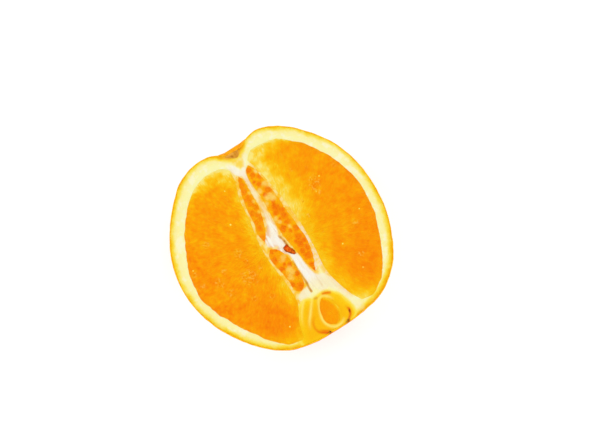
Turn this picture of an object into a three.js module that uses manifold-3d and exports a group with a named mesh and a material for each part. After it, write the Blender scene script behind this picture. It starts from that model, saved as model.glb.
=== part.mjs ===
// Half of a navel orange, cut lengthwise through the stem and the navel, laid on its peel, cut face up.
// Millimetres. +Z is up, +Y points to the stem end and +X to the right of the core as seen from above.
// It is drawn with the cut face at z = 0 and set down on z = 0 at the end.
import * as THREE from "three";
import { mergeVertices } from "three/addons/utils/BufferGeometryUtils.js";
import Module from "manifold-3d";

const wasm = await Module();
wasm.setup();

// ---- Driving dimensions ----------------------------------------------------------------------------------

const fruitDepth = 39.5; // from the cut face down to the small flat spot that the half rests on
const axisX = 2.3; // the line from stem to navel runs here, because the fruit is lopsided

// The fruit's radius in the cut plane, from the stem (0 degrees) round to the navel (180) in equal steps.
const rightRadii = [39.5, 41.2, 41.1, 39.9, 39.2, 38.4, 38.1, 38.4, 39.3, 40.8, 41.2, 39.8, 39.2];
const leftRadii = [39.5, 41.7, 43.4, 42.5, 42.3, 42.5, 42.3, 42, 41.5, 41.6, 42, 40.5, 39.2];
const radiusStep = 180 / (rightRadii.length - 1);
const stemDimple = { depth: 3.6, width: 10 }; // mm and degrees: the dent round the stem button
const dimpleAngle = 15; // up to this many degrees from the stem the loops of the peel lie closer together

const foldSteps = 12; // faces along a piece that has no ridges
const membraneGap = 0.4; // the groove between a piece of pulp and the membrane round it
const pocketDepth = 1.3; // and how deep it goes
const pulpRoot = 3; // how far a piece of pulp is sunk into the body
const pulpSwell = 0.5; // the pulp stands this far above the cut in its middle
const pulpEdgeDrop = 0.45; // and lies this far below it along its edge
const pulpShoulder = { across: 0.2, along: 0.1 }; // share of its width and length over which it falls there
const pulpTip = 1.0; // how far a piece's pointed ends are cut back
const sacRidge = 0.55; // height of the ridges that the juice sacs make

// Each piece of pulp lies between two edges, both drawn from its navel end to its stem end.
// sacs is the number of ridges that fan across it, none on a fold of peel, and rows the faces along a ridge.
const pulpPieces = {
  leftLobe: {
    coreEdge: [[-11, -36.2], [-9.6, -30.5], [-6.2, -23], [-6.3, -14], [-7.3, -5], [-7.1, 3],
      [-5.6, 12], [-4.9, 20], [-2.9, 27], [-2.5, 31.2]],
    peelEdge: [[-11, -36.2], [-16, -35.2], [-21.5, -30.9], [-27, -23.3], [-33, -12.6], [-34.8, -8],
      [-35.8, -5.6], [-35.3, 2], [-34.6, 6.8], [-30.3, 16.5], [-24.2, 25.8], [-17.2, 32], [-10.5, 34],
      [-5, 33.4], [-2.5, 31.2]],
    sacs: 28, rows: 6,
  },
  rightLobe: {
    coreEdge: [[14.6, -34.6], [12.2, -30.5], [10, -24], [8.9, -18], [9.6, -9], [9.9, 0], [9.3, 10],
      [7.9, 19], [6.6, 26], [5, 31.2]],
    peelEdge: [[14.6, -34.6], [19.5, -34.7], [25, -31], [29.8, -23.6], [33.6, -14.4], [35.2, -9.4],
      [36.1, -2], [35.2, 7], [31.4, 17.8], [25.2, 26.8], [18.5, 32.4], [12, 34], [7.4, 33.6], [5, 31.2]],
    sacs: 28, rows: 6,
  },
  upperLeftSliver: {
    coreEdge: [[-5.2, 1.8], [-3.7, 3.4], [-1.6, 8.5], [-0.3, 14], [0, 21], [-0.1, 26], [-0.9, 27.8]],
    peelEdge: [[-5.2, 1.8], [-5.9, 4.5], [-5, 10], [-4.3, 15.5], [-3.5, 21], [-2, 25.8], [-0.9, 27.8]],
    sacs: 9, rows: 3,
  },
  rightSliver: {
    coreEdge: [[5.3, -17], [4, -12.5], [3, -6], [2, 0], [1.9, 8], [2.3, 17], [1.8, 25], [2.8, 28.4],
      [4.3, 29.6]],
    peelEdge: [[5.3, -17], [6.9, -13.5], [8.5, -7], [8.6, 0], [7.9, 8], [7.2, 16.5], [6.4, 24], [5.3, 28],
      [4.3, 29.6]],
    sacs: 15, rows: 3,
  },
  lowerLeftSliver: {
    coreEdge: [[-2.6, -20.5], [-0.7, -19], [0, -15.5], [-0.1, -10], [-0.9, -6], [-2.6, -2.8], [-4.8, -1.5]],
    peelEdge: [[-2.6, -20.5], [-4.6, -19.4], [-5, -15.5], [-5.6, -11], [-6.6, -6.5], [-6.2, -3.3],
      [-4.8, -1.5]],
    sacs: 7, rows: 3,
  },
  outerFold: {
    coreEdge: [[-7.3, -37], [-6.7, -34], [-5.4, -31], [-3.6, -28.6], [-1.4, -26.2]],
    peelEdge: [[-7.3, -37], [-8.7, -35], [-8.2, -31.2], [-5.8, -27.7], [-1.4, -26.2]],
    sacs: 0, rows: 2,
  },
  innerFold: {
    coreEdge: [[-5.3, -36.2], [-4.2, -34.6], [-3.6, -32.5], [-2.5, -30], [-0.4, -27.4]],
    peelEdge: [[-5.3, -36.2], [-6.3, -34.8], [-5.6, -32.4], [-3.8, -29.8], [-0.4, -27.4]],
    sacs: 0, rows: 2,
  },
  navelPulp: {
    coreEdge: [[2.2, -37.4], [4.6, -36.4], [5.7, -33.5], [5.2, -30.3], [3.8, -27.8], [2.2, -26.6]],
    peelEdge: [[2.2, -37.4], [-0.2, -36.2], [-1.1, -33.5], [-0.7, -30.3], [0.7, -27.8], [2.2, -26.6]],
    sacs: 5, rows: 3,
  },
};

// The small second fruit that fills the navel: the middle and half the width of its cut at each y.
const navelStations = [[-25.5, 1.6, 0], [-27, 2, 2.9], [-29.5, 2.6, 4.6], [-32, 2.6, 5.4], [-34.5, 2.4, 6],
  [-36.2, 2.3, 6], [-37.6, 2.3, 5.1], [-38.8, 2.3, 3.4], [-39.5, 2.3, 0]];
const navelCrack = { width: 0.7, depth: 4.2 }; // the gap between it and the peel, open at the navel end

// The hollow in the core: its two ends on the cut face, half its width, and its depth.
const coreHollow = { stemEnd: [0.6, -3], navelEnd: [2.6, -7.8], halfWidth: 1.1, depth: 5 };

// The dry button where the stem grew: its middle, then places along y and the radius there, with lobes
// round its rim.
const stemButton = {
  middleX: 1.9,
  foot: [[34.2, 0], [34.2, 1.5], [35.2, 2.2], [36.1, 2.4]],
  head: [[36.5, 2.1], [36.65, 1.1], [36.65, 0]],
  lobes: 5, lobeShare: 0.1,
};
const clearance = 0.3; // between the stem button and its seat

const peelTurns = 64; // faces round the fruit's axis
const peelLoops = 38; // loops along it, past the dimple
const dimpleLoops = 5; // and inside the dimple
const navelTurns = 28; // faces round the second fruit
const stemTurns = 40; // and round the stem button and its seat
const pastPeel = 3; // a cutting body reaches this far beyond what it cuts
const fruitWidth = 90; // more than the fruit's own

// ---- Solids ----------------------------------------------------------------------------------------------

// n + 1 even steps from 0 to 1.
const steps = (n) => Array.from({ length: n + 1 }, (_, i) => i / n);

// The closed solid whose corners are shared, with its faces turned to point outwards.
function solid(geometry) {
  geometry.deleteAttribute("normal");
  geometry.deleteAttribute("uv");
  const merged = mergeVertices(geometry, 1e-4);
  const index = merged.index.array;
  const triangles = [];
  for (let i = 0; i < index.length; i += 3) {
    const [a, b, c] = [index[i], index[i + 1], index[i + 2]];
    if (a !== b && b !== c && c !== a) triangles.push([a, b, c]);
  }
  const made = (turned) => new wasm.Manifold(new wasm.Mesh({
    numProp: 3,
    vertProperties: merged.attributes.position.array,
    triVerts: new Uint32Array((turned ? triangles.map(([a, b, c]) => [a, c, b]) : triangles).flat()),
  }));
  const first = made(false);
  return first.volume() > 0 ? first : made(true);
}

// The solid inside a row of loops that all have the same number of points, with a fan of faces on each end.
function loft(loops) {
  const corners = [];
  const middle = (loop) => loop.map(() =>
    loop.reduce((sum, p) => sum.add(p), new THREE.Vector3()).divideScalar(loop.length));
  const rows = [middle(loops[0]), ...loops, middle(loops[loops.length - 1])];
  for (let i = 0; i + 1 < rows.length; i++) {
    rows[i].forEach((a, j) => {
      const k = (j + 1) % rows[i].length;
      corners.push(a, rows[i][k], rows[i + 1][k], a, rows[i + 1][k], rows[i + 1][j]);
    });
  }
  return solid(new THREE.BufferGeometry().setFromPoints(corners));
}

// A ring of points round the direction y, with lobes that stand out by a share of its radius.
function ring(y, middleX, radius, count, lobes = 0, lobeShare = 0) {
  return steps(count).slice(1).map((t) => {
    const turn = 2 * Math.PI * t;
    const r = radius * (1 + lobeShare * Math.cos(lobes * turn));
    return new THREE.Vector3(middleX + r * Math.cos(turn), y, r * Math.sin(turn));
  });
}

// All that lies between the cut face and the plane that the half rests on.
function halfSlab() {
  const slab = new THREE.BoxGeometry(fruitWidth, fruitWidth, fruitDepth);
  slab.translate(0, 0, -fruitDepth / 2);
  return solid(slab);
}

// A named mesh of a solid.
function meshOf(name, body, material) {
  const { vertProperties, triVerts } = body.getMesh();
  const geometry = new THREE.BufferGeometry();
  geometry.setAttribute("position", new THREE.BufferAttribute(vertProperties, 3));
  geometry.setIndex(new THREE.BufferAttribute(triVerts, 1));
  geometry.computeVertexNormals();
  const mesh = new THREE.Mesh(geometry, material);
  mesh.name = name;
  return mesh;
}

// ---- The fruit's outside ---------------------------------------------------------------------------------

// A smooth curve through evenly spaced values, at a place counted in steps from the first value.
function smoothValue(values, place) {
  const last = values.length - 1;
  const i = Math.min(Math.floor(place), last - 1);
  const t = place - i;
  const mirrored = (k) => values[Math.abs(k > last ? 2 * last - k : k)];
  const [a, b, c, d] = [i - 1, i, i + 1, i + 2].map(mirrored);
  return b + 0.5 * t * (c - a + t * (2 * a - 5 * b + 4 * c - d + t * (3 * (b - c) + d - a)));
}

// A point of the peel. tilt is the angle from the stem in degrees, and turn goes round the axis from the
// right edge of the cut (0) under the face to the left edge (pi). The belly lies under the cut's middle.
function peelPoint(tilt, turn) {
  const angle = THREE.MathUtils.degToRad(tilt);
  const place = tilt / radiusStep;
  const rightShare = (1 + Math.cos(turn)) / 2;
  const dimple = stemDimple.depth * Math.exp(-((tilt / stemDimple.width) ** 2));
  const radius = rightShare * smoothValue(rightRadii, place)
    + (1 - rightShare) * smoothValue(leftRadii, place) - dimple;
  const belly = (Math.sin(angle) * Math.sin(turn)) ** 2;
  return new THREE.Vector3(
    axisX * (1 - belly) + radius * Math.sin(angle) * Math.cos(turn),
    radius * Math.cos(angle),
    -radius * Math.sin(angle) * Math.sin(turn),
  );
}

function wholeFruit() {
  const inDimple = steps(dimpleLoops).slice(1).map((s) => dimpleAngle * s);
  const pastDimple = steps(peelLoops).slice(1, -1).map((s) => dimpleAngle + (180 - dimpleAngle) * s);
  const turns = steps(peelTurns).slice(0, peelTurns);
  const loops = [0, ...inDimple, ...pastDimple, 180].map((tilt) =>
    turns.map((t) => peelPoint(tilt, 2 * Math.PI * t)));
  return loft(loops);
}

// ---- The navel, the hollow in the core and the stem's seat -----------------------------------------------

// The small second fruit, or with a gap the space that it and the gap round its outer end take up together.
function navelFruit(gap = 0) {
  return loft(navelStations.map(([y, middle, half]) =>
    ring(y - gap, middle, half && half + gap, navelTurns)));
}

// The part of that space that stays open: its outer end, down to the crack's depth.
function navelMouth() {
  const outermost = navelStations[navelStations.length - 1][0];
  const mouth = new THREE.BoxGeometry(fruitWidth, navelCrack.depth + pastPeel, fruitWidth);
  mouth.translate(0, outermost + (navelCrack.depth - pastPeel) / 2, 0);
  return navelFruit(navelCrack.width).intersect(solid(mouth));
}

function hollowInCore() {
  const from = new THREE.Vector2(...coreHollow.stemEnd);
  const to = new THREE.Vector2(...coreHollow.navelEnd);
  const hollow = new THREE.SphereGeometry(1, 16, 10);
  hollow.scale(from.distanceTo(to) / 2, coreHollow.halfWidth, coreHollow.depth);
  hollow.rotateZ(to.clone().sub(from).angle());
  hollow.translate((from.x + to.x) / 2, (from.y + to.y) / 2, 0);
  return solid(hollow);
}

// The space round the foot of the stem button, open to the dimple.
function stemSeat() {
  const room = (radius) => radius * (1 + stemButton.lobeShare) + clearance;
  const foot = stemButton.foot.map(([y, radius]) =>
    ring(y - clearance, stemButton.middleX, radius && room(radius), stemTurns));
  const [, rim] = stemButton.foot[stemButton.foot.length - 1];
  return loft([...foot, ring(rightRadii[0] + pastPeel, stemButton.middleX, room(rim), stemTurns)]);
}

// ---- The pulp --------------------------------------------------------------------------------------------

const smoothCurve = (points) => new THREE.CatmullRomCurve3(
  points.map(([x, y]) => new THREE.Vector3(x, y, 0)), false, "centripetal");

// The height of a piece's top: it swells in the middle, drops at its edges and has a ridge for each sac.
function pulpHeight(along, across, sacs) {
  const inside = Math.min(1, Math.min(across, 1 - across) / pulpShoulder.across,
    Math.min(along, 1 - along) / pulpShoulder.along);
  const swell = Math.sin(inside * Math.PI / 2);
  const ridge = sacs ? sacRidge * (Math.sin(Math.PI * sacs * along) ** 2 - 0.5) * swell : 0;
  return (pulpSwell + pulpEdgeDrop) * swell - pulpEdgeDrop + ridge;
}

// Even steps along a piece. The first and the last are drawn in by the trim, in mm, to blunt its tips.
function alongPiece(peelSide, columns, trim) {
  const share = trim / peelSide.getLength();
  return steps(columns).map((s) => THREE.MathUtils.clamp(s, share, 1 - share));
}

// The pocket that a piece of pulp fills: the whole space between its edges, open above the cut.
function pulpPocket(peelSide, coreSide, columns) {
  return loft(alongPiece(peelSide, columns, membraneGap).map((s) => {
    const [a, b] = [peelSide.getPointAt(s), coreSide.getPointAt(s)];
    return [[a, pastPeel], [b, pastPeel], [b, -pocketDepth], [a, -pocketDepth]]
      .map(([p, z]) => new THREE.Vector3(p.x, p.y, z));
  }));
}

// The piece of pulp itself, a membrane's gap smaller than its pocket all round.
function pulpBody(peelSide, coreSide, columns, { sacs, rows }) {
  return loft(alongPiece(peelSide, columns, pulpTip).map((s) => {
    const [a, b] = [peelSide.getPointAt(s), coreSide.getPointAt(s)];
    const inset = Math.min(0.4, membraneGap / a.distanceTo(b)); // some width is left at the tips
    const top = steps(rows).map((across) => {
      const p = a.clone().lerp(b, inset + across * (1 - 2 * inset));
      return p.setZ(pulpHeight(s, across, sacs));
    });
    const foot = [top[rows], top[0]].map((p) => p.clone().setZ(-pulpRoot));
    return [...top, ...foot];
  }));
}

function withPulp(body, piece) {
  const columns = 2 * piece.sacs || foldSteps; // a crest and a valley for each sac
  const peelSide = smoothCurve(piece.peelEdge);
  const coreSide = smoothCurve(piece.coreEdge);
  return body.subtract(pulpPocket(peelSide, coreSide, columns))
    .add(pulpBody(peelSide, coreSide, columns, piece));
}

// ---- The two pieces --------------------------------------------------------------------------------------

function halfOrange() {
  const fruit = wholeFruit().subtract(navelMouth()).add(navelFruit()).subtract(stemSeat());
  const half = fruit.intersect(halfSlab()).subtract(hollowInCore());
  const body = Object.values(pulpPieces).reduce(withPulp, half);
  return meshOf("half_orange", body, new THREE.MeshStandardMaterial({ color: 0xf7921e, roughness: 0.45 }));
}

function cutStemButton() {
  const { middleX, foot, head, lobes, lobeShare } = stemButton;
  const whole = loft([...foot, ...head].map(([y, radius]) =>
    ring(y, middleX, radius, stemTurns, lobes, lobeShare)));
  const half = whole.intersect(halfSlab());
  return meshOf("stem_button", half, new THREE.MeshStandardMaterial({ color: 0x8a6f55, roughness: 0.9 }));
}

const orange = new THREE.Group();
orange.add(halfOrange(), cutStemButton());
const box = new THREE.Box3().setFromObject(orange);
const middle = box.getCenter(new THREE.Vector3());
orange.position.set(-middle.x, -middle.y, -box.min.z);

const group = new THREE.Group();
group.add(orange);

export default group;
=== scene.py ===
# %% [markdown]
# # Half of a navel orange
#
# A navel orange has been cut lengthwise, through the stem and through the navel, and one half lies on its
# peel with the cut up. From the outside in, the cut shows the oily skin, the cream pith, the pulp in its
# thin membranes, the white core, and the small second fruit that gives a navel orange its name.
#
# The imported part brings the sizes. Every piece here is a surface worked out on a grid of two parameters, in
# millimetres, with the cut face at height zero, and it is set in its place as it becomes a mesh.

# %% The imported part
import math
from types import SimpleNamespace

import bmesh
import bpy
import numpy as np
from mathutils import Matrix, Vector


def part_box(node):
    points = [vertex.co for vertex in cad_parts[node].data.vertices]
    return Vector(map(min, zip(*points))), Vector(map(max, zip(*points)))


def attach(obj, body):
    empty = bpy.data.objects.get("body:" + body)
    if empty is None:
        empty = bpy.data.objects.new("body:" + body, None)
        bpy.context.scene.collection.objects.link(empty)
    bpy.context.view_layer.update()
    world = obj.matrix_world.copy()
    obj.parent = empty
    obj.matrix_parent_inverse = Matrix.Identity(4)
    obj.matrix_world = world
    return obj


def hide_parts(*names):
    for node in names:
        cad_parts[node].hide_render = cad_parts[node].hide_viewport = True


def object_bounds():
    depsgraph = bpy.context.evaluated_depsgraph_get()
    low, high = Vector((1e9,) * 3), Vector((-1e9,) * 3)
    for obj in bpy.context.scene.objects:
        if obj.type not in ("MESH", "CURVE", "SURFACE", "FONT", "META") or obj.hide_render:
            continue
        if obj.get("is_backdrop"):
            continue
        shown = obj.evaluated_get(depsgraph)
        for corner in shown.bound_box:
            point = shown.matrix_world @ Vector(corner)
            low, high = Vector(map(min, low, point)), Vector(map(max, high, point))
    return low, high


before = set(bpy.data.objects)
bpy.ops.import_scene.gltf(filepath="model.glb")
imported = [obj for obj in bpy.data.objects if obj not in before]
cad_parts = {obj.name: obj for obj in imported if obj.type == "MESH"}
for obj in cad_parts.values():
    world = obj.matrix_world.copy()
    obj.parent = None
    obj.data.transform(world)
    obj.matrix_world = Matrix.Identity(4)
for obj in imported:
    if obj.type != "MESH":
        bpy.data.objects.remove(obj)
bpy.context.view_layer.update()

# %% [markdown]
# ## The fruit's outline
#
# The outline of the cut is told by the fruit's radius at every 15 degrees from the stem to the navel, once
# for the right side and once for the left, because the fruit is lopsided. A curve through those few radii
# keeps the lumps that a grown fruit has and a circle lacks. Under the cut the two sides blend into each
# other.

# %% Measures of the fruit, in mm
FRUIT_DEPTH = 39.5  # from the cut face to the flat spot that the half rests on
AXIS_X = 2.3  # the line from stem to navel
RIGHT_RADII = [39.5, 41.2, 41.1, 39.9, 39.2, 38.4, 38.1, 38.4, 39.3, 40.8, 41.2, 39.8, 39.2]
LEFT_RADII = [39.5, 41.7, 43.4, 42.5, 42.3, 42.5, 42.3, 42, 41.5, 41.6, 42, 40.5, 39.2]
RADIUS_STEP = 180 / (len(RIGHT_RADII) - 1)
DIMPLE_DEPTH, DIMPLE_WIDTH = 3.6, 10  # mm and degrees
STEM_TILT, NAVEL_TILT = 30, 150  # degrees from the stem: the stem's end lies before, the navel's end beyond
NAVEL_END_Y = -39.5  # how far the small second fruit reaches
CRACK_RADIUS, CRACK_WIDTH, CRACK_DEPTH = 3.9, 0.45, 0.9  # the ring-shaped crack round it
LUMPS = ((0.16, 9, 3), (0.1, 2.2, 5))  # the peel's lumps, slow and small: height, size, and seed of chance


def bell(away, width):
    """1 where nothing is away, falling over the width to both sides: e to the power of minus the square of
    their ratio."""
    return np.exp(-((away / width) ** 2))


def smooth_value(values, place):
    """A smooth curve through evenly spaced values, read at a place counted in steps: between two values it
    is the cubic whose slope at each of them is that of the line from the value before to the value
    after."""
    values = np.asarray(values, float)
    last = len(values) - 1
    i = np.clip(np.floor(place).astype(int), 0, last - 1)
    t = place - i
    a, b, c, d = (values[np.abs(np.where(k > last, 2 * last - k, k))] for k in (i - 1, i, i + 1, i + 2))
    return b + 0.5 * t * (c - a + t * (2 * a - 5 * b + 4 * c - d + t * (3 * (b - c) + d - a)))


def peel_point(tilt, turn, lift=0.0):
    """A point of the peel. The tilt from the stem (degrees) and the turn round the axis (0 at the right
    edge of the cut, pi at the left) give a direction, and the radius there is a blend of the right side's
    and the left side's, less the stem dimple and the crack round the navel. Lift moves the point
    outwards."""
    angle = np.radians(tilt)
    right, left = (smooth_value(radii, tilt / RADIUS_STEP) for radii in (RIGHT_RADII, LEFT_RADII))
    right_share = (1 + np.cos(turn)) / 2
    radius = right_share * right + (1 - right_share) * left - DIMPLE_DEPTH * bell(tilt, DIMPLE_WIDTH)
    crack = bell(radius * np.sin(angle) - CRACK_RADIUS, CRACK_WIDTH) * (tilt > NAVEL_TILT)
    radius = radius - CRACK_DEPTH * crack + lift
    belly = (np.sin(angle) * np.sin(turn)) ** 2
    return np.stack([
        AXIS_X * (1 - belly) + radius * np.sin(angle) * np.cos(turn),
        radius * np.cos(angle),
        -radius * np.sin(angle) * np.sin(turn),
    ], axis=-1)


def growth(points):
    """How far the lumps make the peel stand out at each of its points."""
    return sum(height * soft_noise(points, size, seed) for height, size, seed in LUMPS)


low, high = (np.array(corner) * 1000 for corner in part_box("half_orange"))
right_edge = peel_point(np.arange(721) / 4, 0.0)[:, 0].max()  # looked for at every quarter of a degree
CUT_FACE = np.array([high[0] - right_edge, low[1] - NAVEL_END_Y, low[2] + FRUIT_DEPTH])
print("the cut face lies at", np.round(CUT_FACE, 2), "mm in the part's own frame")

# %% [markdown]
# ## Chance, told by a formula
#
# Peel is pitted and pulp is streaked by chance. So that every run gives the same fruit, chance is worked
# out from whole-number cells: the same cell always gives the same number. From that come soft noise, which
# blends the numbers of neighbouring cells, and scattered spots, one to a cell: near its own spot a place is
# in the middle of a gland or a juice sac, and where two spots are equally near, it is on the wall between
# them.


# %% Noise and scattered spots
SCRAMBLERS = np.array([374761393, 668265263, 974634777])  # large odd numbers, one for each direction
SEED_STEP, STIR, LOW_32_BITS = 69069, 1274126177, 0xFFFFFFFF


def chance(cell, seed):
    """A number from 0 to 1 for each whole-number cell (..., 3), scrambled by multiplying and shifting."""
    n = (cell @ SCRAMBLERS + seed * SEED_STEP) & LOW_32_BITS
    for shift in (13, 16, 15):
        n = ((n ^ (n >> shift)) * STIR) & LOW_32_BITS
    return (n >> 8) / 2.0**24  # the last 8 bits are the least well scrambled


def soft_noise(points, size, seed):
    """Noise from -1 to 1: the chance numbers of the eight corners of each point's cell, blended by how near
    the point is to each corner, with the blend eased so that it has no creases."""
    p = points / size
    cell = np.floor(p).astype(np.int64)
    t = p - cell
    t = t * t * (3 - 2 * t)
    total = np.zeros(p.shape[:-1])
    for corner in np.ndindex(2, 2, 2):
        corner = np.array(corner)
        weight = np.prod(np.where(corner == 1, t, 1 - t), axis=-1)
        total += weight * chance(cell + corner, seed)
    return 2 * total - 1


FAR_OFF = 9.0  # farther than any spot in the cells round a point, in cells


def scatter(points, spacing, seed):
    """Round each point, one spot lies at a place of chance in every cell of the spacing. Gives the
    distances to the nearest spot and to the second nearest, and the nearest one's own chance number."""
    p = points / spacing
    cell = np.floor(p).astype(np.int64)
    nearest, second, tone = (np.full(p.shape[:-1], FAR_OFF) for _ in range(3))
    for step in np.ndindex(3, 3, 3):
        near = cell + np.array(step) - 1
        spot = near + np.stack([chance(near, seed + k) for k in range(3)], axis=-1)
        away = np.linalg.norm(p - spot, axis=-1)
        tone = np.where(away < nearest, chance(near, seed + 3), tone)
        second = np.minimum(second, np.maximum(nearest, away))
        nearest = np.minimum(nearest, away)
    return nearest * spacing, second * spacing, tone


def ease(low_end, high_end, value):
    """0 below the low end, 1 above the high end, and an eased slope between them."""
    t = np.clip((value - low_end) / (high_end - low_end), 0, 1)
    return t * t * (3 - 2 * t)


def flat(x, y):
    """Points of the cut face from their two coordinates."""
    return np.stack([x, y, np.zeros_like(x)], axis=-1)


# %% [markdown]
# ## From arrays to meshes
#
# Two ways of joining points are enough. A loft joins loops of points, one after another, like the slices of
# a loaf, and suits the long pieces of pulp. A disc is a square grid pulled round, with rings that carry it
# on over its edge and close it behind, and suits the peel and the cut face: its faces stay about the same
# size, where those of a fan crowd together in the middle. Both weld the points that meet, so they close.


# %% Lofts and discs
WELD = 2e-6  # metres: points nearer than this are one point
CREASE = 50  # degrees: a sharper edge is shaded as an edge


def in_scene(name, data):
    """A new object of the data, put into the scene."""
    made = bpy.data.objects.new(name, data)
    bpy.context.scene.collection.objects.link(made)
    return made


def make_piece(name, points, faces, values, finish, replaced):
    """A mesh object from points (mm, cut face at zero) and rows of four corners, with a named number or
    vector for each point, welded, smooth, and riding on the part in the place of one of its solids."""
    mesh = bpy.data.meshes.new(name)
    mesh.vertices.add(len(points))
    mesh.vertices.foreach_set("co", ((points + CUT_FACE) / 1000).astype(np.float32).ravel())
    mesh.loops.add(faces.size)
    mesh.loops.foreach_set("vertex_index", faces.ravel().astype(np.int32))
    mesh.polygons.add(len(faces))
    mesh.polygons.foreach_set("loop_start", np.arange(0, faces.size, 4, dtype=np.int32))
    for key, value in values.items():
        kind, field = ("FLOAT_VECTOR", "vector") if value.ndim == 2 else ("FLOAT", "value")
        mesh.attributes.new(key, kind, "POINT").data.foreach_set(field, value.astype(np.float32).ravel())
    mesh.update(calc_edges=True)
    shape = bmesh.new()
    shape.from_mesh(mesh)
    bmesh.ops.remove_doubles(shape, verts=shape.verts, dist=WELD)
    bmesh.ops.recalc_face_normals(shape, faces=shape.faces)
    open_edges = sum(not edge.is_manifold for edge in shape.edges)
    shape.to_mesh(mesh)
    shape.free()
    mesh.shade_smooth()
    mesh.set_sharp_from_angle(angle=math.radians(CREASE))
    mesh.materials.append(finish)
    piece = in_scene(name, mesh)
    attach(piece, "root")
    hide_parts(replaced)
    print(name, "has", len(mesh.polygons), "faces and", open_edges, "open edges")


def loft_faces(loops, around):
    """The faces between loops of points, each loop closed on itself."""
    i, j = np.meshgrid(np.arange(loops - 1), np.arange(around), indexing="ij")
    here, beside = i * around + j, i * around + (j + 1) % around
    return np.stack([here, beside, beside + around, here + around], -1).reshape(-1, 4)


def square_to_disc(count):
    """A square grid of the count pulled round into a disc: each ring of the square becomes a circle of the
    same area share. Gives the distance from the middle (0 to 1) and the angle of every point."""
    s = np.linspace(-1, 1, count)
    a, b = np.meshgrid(s, s, indexing="ij")
    flip = np.abs(a) < np.abs(b)
    rho = np.where(flip, b, a)
    other = np.where(flip, a, b)
    share = np.divide(other, rho, out=np.zeros_like(rho), where=rho != 0)
    turn = math.pi / 4 * share  # from the nearer of the two directions that run through the sides' middles
    return np.abs(rho), np.where(flip, math.pi / 2 - turn, turn) + np.where(rho < 0, math.pi, 0)


def disc_edge(count):
    """The places of the grid's outermost points, in order round the disc."""
    grid = np.arange(count * count).reshape(count, count)
    return np.concatenate([grid[:-1, 0], grid[-1, :-1], grid[:0:-1, -1], grid[0, :0:-1]])


def disc_faces(count, rings):
    """The faces of the grid, then of the rings that follow its edge one after another."""
    grid = np.arange(count * count).reshape(count, count)
    faces = [np.stack([grid[:-1, :-1], grid[1:, :-1], grid[1:, 1:], grid[:-1, 1:]], -1).reshape(-1, 4)]
    before = disc_edge(count)
    for ring in range(rings):
        after = count * count + ring * len(before) + np.arange(len(before))
        faces.append(np.stack([np.roll(before, -1), before, after, np.roll(after, -1)], -1))
        before = after
    return np.concatenate(faces)


# %% [markdown]
# ## Distances on the cut face
#
# What a spot on the cut looks like depends on what it is near: the skin, a membrane, a crack. So lines are
# drawn on the face through a few points each, and every point of a mesh is told how far it is from them.


# %% Curves and distances
def curve_through(points, count):
    """A smooth curve through points, sampled evenly along its length. Its slope at each point is the one of
    a parabola through it and its two neighbours, with time counted by the root of the distance."""
    p = np.asarray(points, float)
    t = np.concatenate([[0], np.cumsum(np.sqrt(np.linalg.norm(np.diff(p, axis=0), axis=1)))])
    dp, dt = np.diff(p, axis=0), np.diff(t)[:, None]
    slope = dp / dt
    middle = (slope[:-1] * dt[1:] + slope[1:] * dt[:-1]) / (dt[1:] + dt[:-1])
    slopes = np.concatenate([slope[:1], middle, slope[-1:]])
    at = np.linspace(0, t[-1], 40 * len(p))
    i = np.clip(np.searchsorted(t, at, side="right") - 1, 0, len(p) - 2)
    h = (t[i + 1] - t[i])[:, None]
    u = (at - t[i])[:, None] / h
    fine = ((2 * u**3 - 3 * u**2 + 1) * p[i] + (u**3 - 2 * u**2 + u) * h * slopes[i]
            + (3 * u**2 - 2 * u**3) * p[i + 1] + (u**3 - u**2) * h * slopes[i + 1])
    length = np.concatenate([[0], np.cumsum(np.linalg.norm(np.diff(fine, axis=0), axis=1))])
    even = np.linspace(0, length[-1], count)
    return np.stack([np.interp(even, length, fine[:, k]) for k in range(p.shape[1])], axis=-1)


BATCH = 4000  # points measured at a time, to spare memory


def nearest_on(points, line):
    """The distance from each point (n, 2) to a line of straight pieces (m, 2), and its nearest piece."""
    a, step = line[:-1], np.diff(line, axis=0)
    length2 = (step**2).sum(axis=1)
    nearest, piece = np.empty(len(points)), np.empty(len(points), int)
    for start in range(0, len(points), BATCH):
        some = slice(start, start + BATCH)
        gap = points[some, None] - a
        t = np.clip((gap * step).sum(-1) / length2, 0, 1)
        away2 = ((gap - t[..., None] * step) ** 2).sum(-1)
        piece[some] = away2.argmin(axis=1)
        nearest[some] = np.sqrt(away2.min(axis=1))
    return nearest, piece


def inside(points, outline):
    """Whether each point (n, 2) lies inside a closed outline: a ray from it to the right crosses it an odd
    number of times."""
    x, y = points[:, :1], points[:, 1:]
    ax, ay = outline.T
    bx, by = np.roll(outline, -1, axis=0).T
    crosses = ((ay > y) != (by > y)) & (x < (bx - ax) * (y - ay) / np.where(by == ay, 1e-9, by - ay) + ax)
    return crosses.sum(axis=1) % 2 == 1


NEAR = 3.0  # mm: beyond this, how far outside an outline a point lies no longer matters


def depth_in(points, outline):
    """How far inside a closed outline each point lies, below zero outside it."""
    near = np.all((points > outline.min(axis=0) - NEAR) & (points < outline.max(axis=0) + NEAR), axis=1)
    away, _ = nearest_on(points[near], np.concatenate([outline, outline[:1]]))
    depth = np.full(len(points), -NEAR)
    depth[near] = np.where(inside(points[near], outline), away, -away)
    return depth


# %% [markdown]
# ## Shader maths that reads like arithmetic
#
# A finish is a network of nodes, and wiring it by hand hides what it means. Two small classes let a finish
# be written as sums: one wraps a socket and knows plus, minus and times, the other makes any node in one
# line. Colours are written as they should look on the screen, and what lies in the light of the cut is made
# darker by as much as that light brightens it.


# %% Colours
LIGHT_ON_CUT = 1.46  # how much brighter than white the lamps make a white thing that lies as the cut does


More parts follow.
